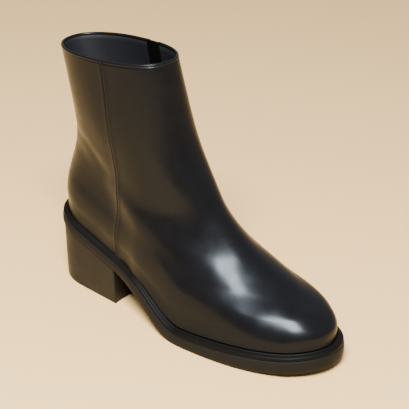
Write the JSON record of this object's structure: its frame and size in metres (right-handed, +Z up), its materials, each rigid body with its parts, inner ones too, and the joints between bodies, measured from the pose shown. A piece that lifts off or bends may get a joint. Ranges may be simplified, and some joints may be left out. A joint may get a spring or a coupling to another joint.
{
  "type": "block heel boot",
  "caption": "Right-foot leather ankle boot with a rounded toe, inner side zip, welted sole and D-shaped block heel, hollow and ready to wear.",
  "frame": {"origin": "centre of the boot's box, on the floor", "axes": "+X from heel to toe, +Y to the boot's inner side with the zip, +Z up"},
  "size_m": [0.2724, 0.1062, 0.2126],
  "materials": {
    "leather": "smooth black leather, half gloss",
    "welt_rubber": "black, half matt",
    "sole_rubber": "black, matt",
    "heel_rubber": "black, half matt",
    "footbed": "dark blue-black, matt",
    "zip_cloth": "black woven tape",
    "zip_teeth": "black",
    "dark_metal": "dark grey, half gloss"
  },
  "bodies": {
    "boot": {"upper": "leather", "welt": "welt_rubber", "outsole": "sole_rubber", "heel": "heel_rubber", "insole": "footbed", "zip_tape": "zip_cloth", "zip_chain": "zip_teeth", "zip_slider": "dark_metal"},
    "pull": {"zip_pull": "dark_metal"}
  },
  "joints": [
    {"name": "pull_hinge", "type": "hinge", "parent": "boot", "child": "pull", "pos_m": [-0.06745, 0.02311, 0.20302], "axis": [0.9924, -0.0675, 0.1025], "range_deg": [0, 150]}
  ]
}
